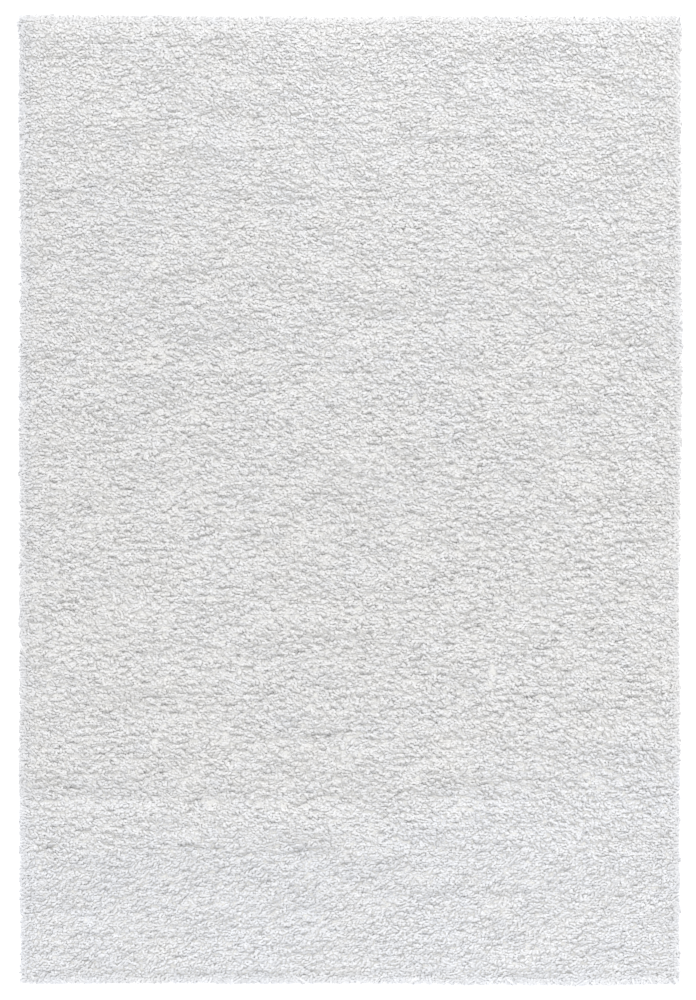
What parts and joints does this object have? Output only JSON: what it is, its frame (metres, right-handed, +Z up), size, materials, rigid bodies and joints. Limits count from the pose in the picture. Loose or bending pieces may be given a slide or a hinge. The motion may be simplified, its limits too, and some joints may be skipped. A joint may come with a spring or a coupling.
{
  "type": "shag rug",
  "caption": "Rectangular white shag rug lying flat, a thick lumpy pile with uneven edges and locks of yarn standing out round its rim.",
  "frame": {"origin": "middle of the flat underside, on the floor", "axes": "+X across the rug, +Y along it, +Z up out of the pile"},
  "size_m": [1.6, 2.34, 0.0382],
  "materials": {
    "pile_yarn": "matte"
  },
  "bodies": {
    "root": {"shag_rug": "pile_yarn"}
  },
  "joints": []
}
